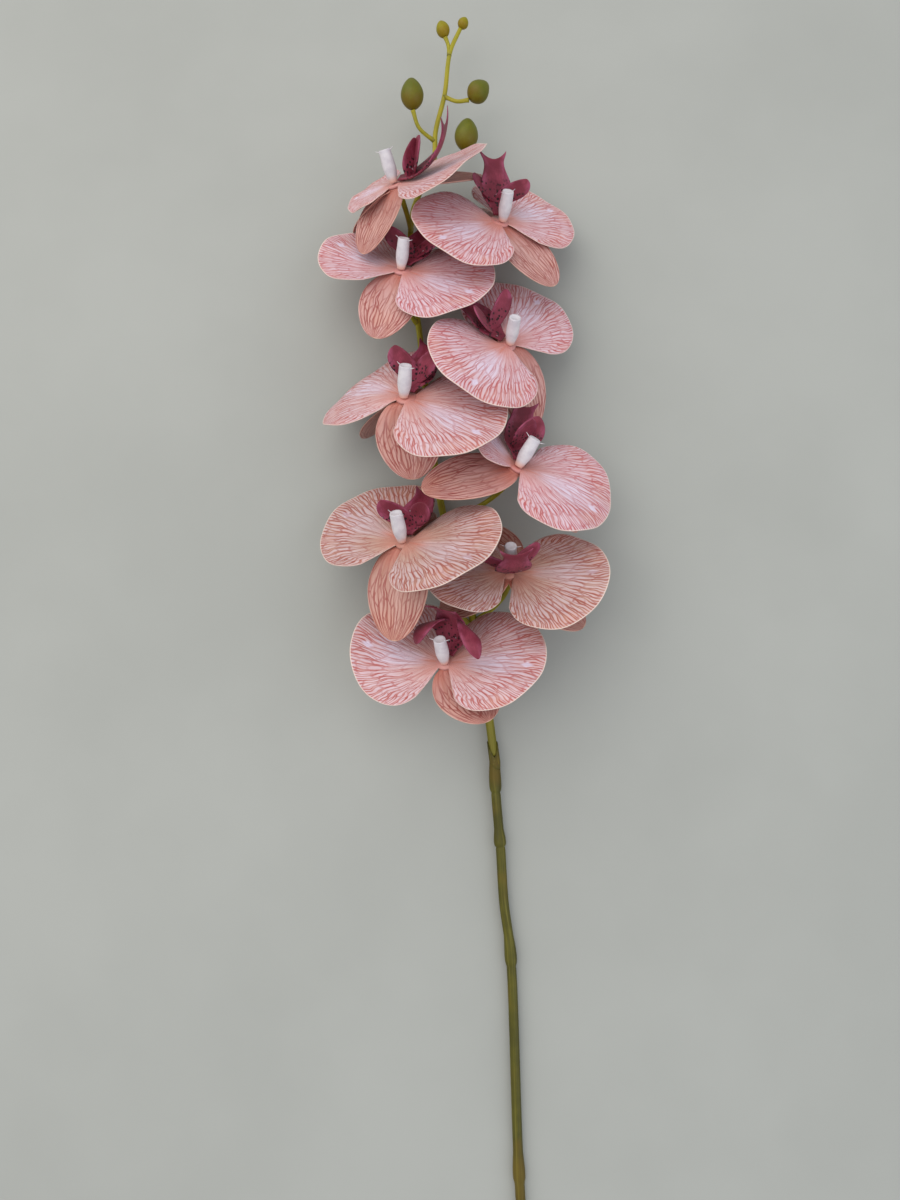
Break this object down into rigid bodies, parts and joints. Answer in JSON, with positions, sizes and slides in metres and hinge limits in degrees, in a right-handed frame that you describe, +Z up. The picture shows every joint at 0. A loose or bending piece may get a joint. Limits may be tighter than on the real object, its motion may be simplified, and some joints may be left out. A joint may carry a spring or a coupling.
{
  "type": "artificial orchid stem",
  "caption": "Long jointed flower stem lying down, with open veined orchid blooms along a bent spike and closed buds at the tip.",
  "frame": {"origin": "centre of the bounding box at the surface the stem lies on", "axes": "+Y along the stem from its cut end to the tip with the buds, +Z up from the surface towards the faces of the blooms"},
  "size_m": [0.1518, 0.7858, 0.0838],
  "materials": {
    "stem": "satin olive green with darker ribs",
    "spike": "satin yellow green",
    "bud": "satin olive green shading to ochre",
    "tip_bud": "satin ochre",
    "sepal": "matte coral with darker lines and a cream rim",
    "petal": "matte pale pink with branching salmon veins and a cream rim",
    "lip": "satin burgundy with near black dots",
    "column": "satin white"
  },
  "bodies": {
    "root": {"stem": "stem", "flower_spike": "spike", "bud_1": "bud", "bud_2": "bud", "bud_3": "bud", "bud_4": "tip_bud", "bud_5": "tip_bud", "bloom_1_sepals": "sepal", "bloom_1_petals": "petal", "bloom_1_lip": "lip", "bloom_1_column": "column", "bloom_2_sepals": "sepal", "bloom_2_petals": "petal", "bloom_2_lip": "lip", "bloom_2_column": "column", "bloom_3_sepals": "sepal", "bloom_3_petals": "petal", "bloom_3_lip": "lip", "bloom_3_column": "column", "bloom_4_sepals": "sepal", "bloom_4_petals": "petal", "bloom_4_lip": "lip", "bloom_4_column": "column", "bloom_5_sepals": "sepal", "bloom_5_petals": "petal", "bloom_5_lip": "lip", "bloom_5_column": "column", "bloom_6_sepals": "sepal", "bloom_6_petals": "petal", "bloom_6_lip": "lip", "bloom_6_column": "column", "bloom_7_sepals": "sepal", "bloom_7_petals": "petal", "bloom_7_lip": "lip", "bloom_7_column": "column", "bloom_8_sepals": "sepal", "bloom_8_petals": "petal", "bloom_8_lip": "lip", "bloom_8_column": "column", "bloom_9_sepals": "sepal", "bloom_9_petals": "petal", "bloom_9_lip": "lip", "bloom_9_column": "column"}
  },
  "joints": []
}
